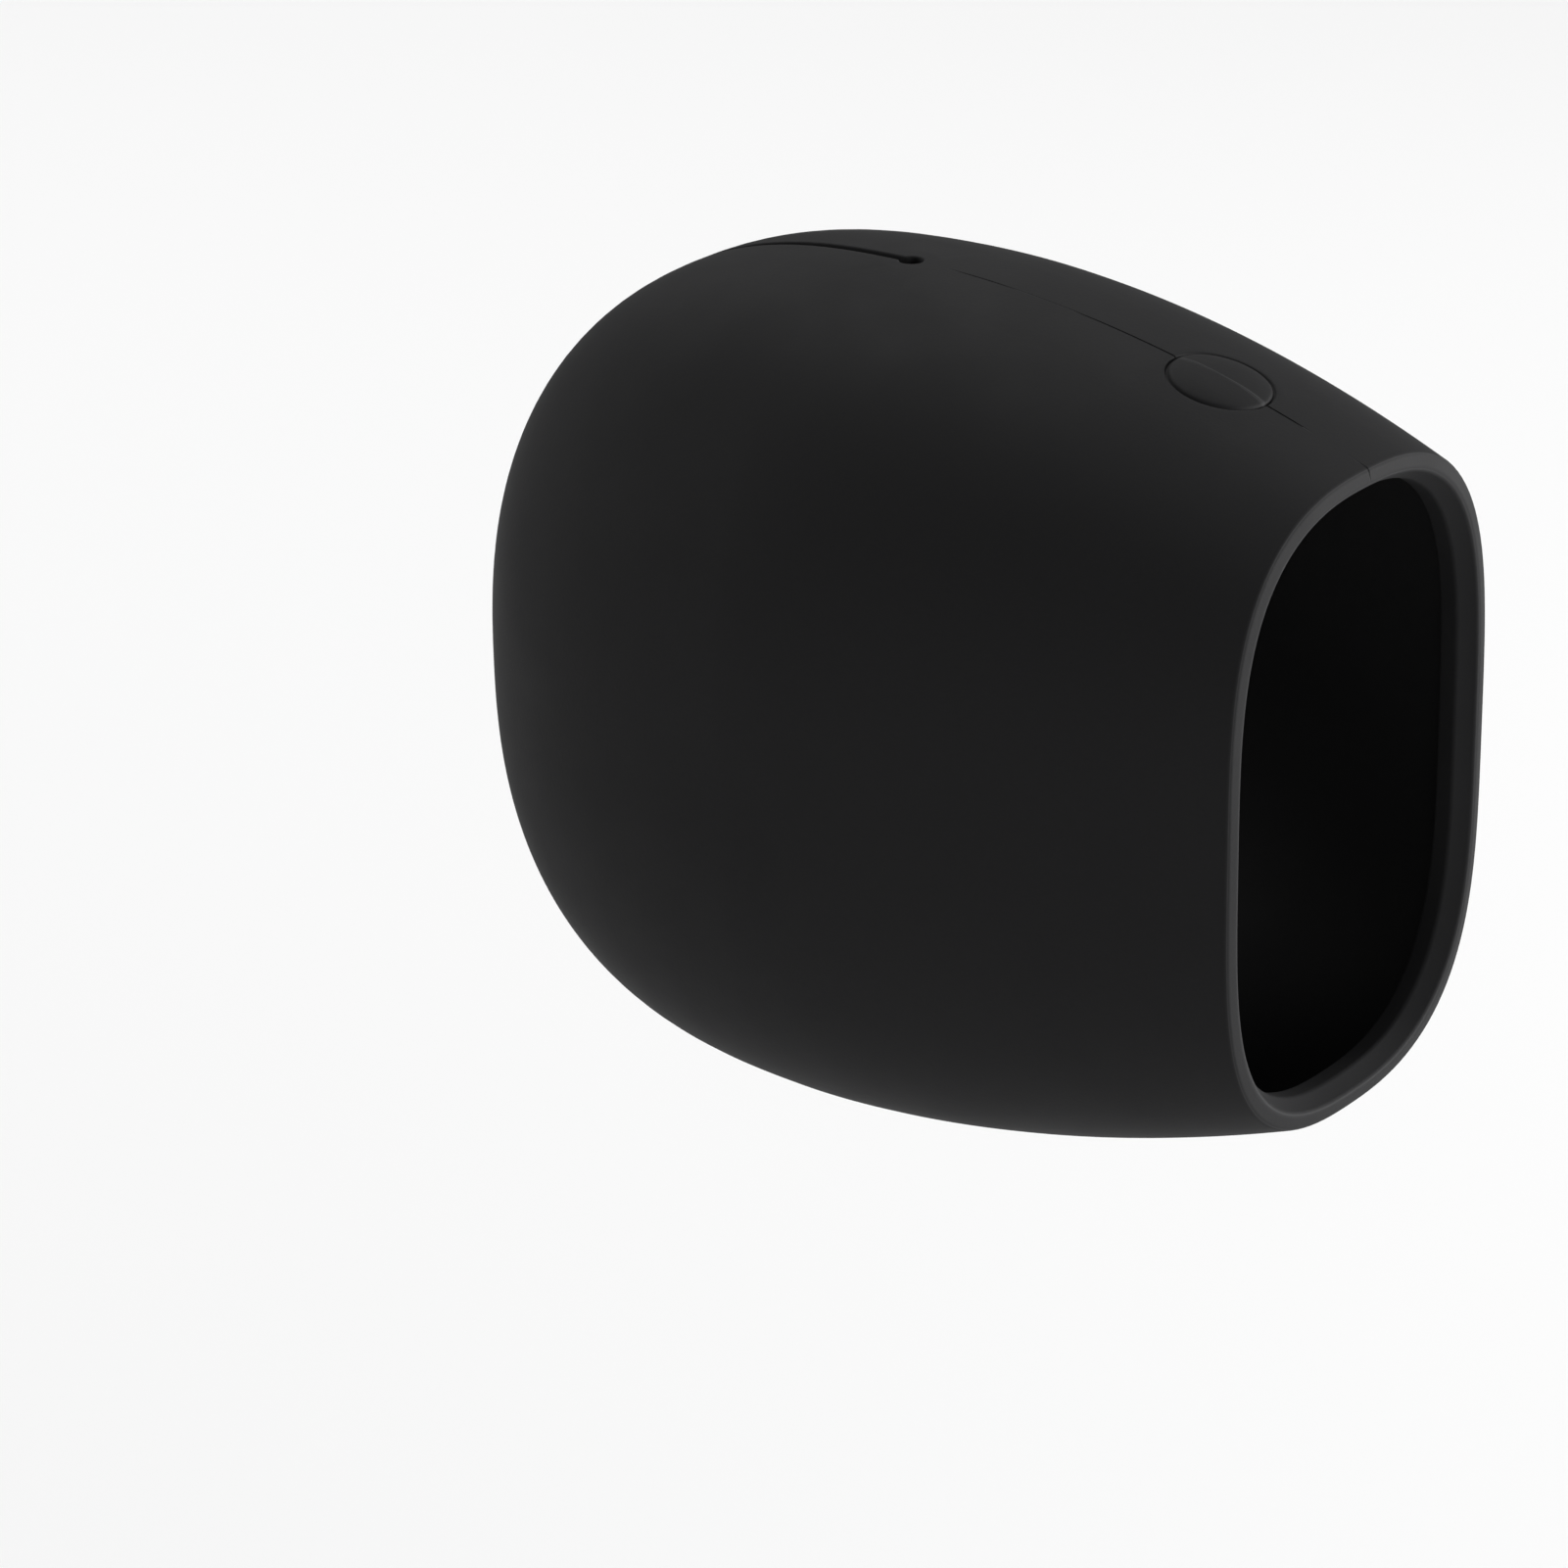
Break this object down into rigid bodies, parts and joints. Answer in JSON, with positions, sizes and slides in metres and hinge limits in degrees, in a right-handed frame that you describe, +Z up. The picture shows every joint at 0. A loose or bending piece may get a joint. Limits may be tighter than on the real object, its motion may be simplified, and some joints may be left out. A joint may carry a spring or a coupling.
{
  "type": "security camera silicone skin",
  "caption": "Egg-shaped hollow silicone cover for a compact security camera, with a lipped oval front opening, a round rear opening, a slit over the top and a button membrane.",
  "frame": {"origin": "centre of the front opening, in the plane of the rim", "axes": "+Y runs back along the skin's axis from the front opening to the rear dome, +Z is up towards the button and the slit, and +X is across"},
  "size_m": [0.0526, 0.0803, 0.0718],
  "materials": {
    "silicone": "matte"
  },
  "bodies": {
    "root": {"silicone_skin": "silicone"}
  },
  "joints": []
}
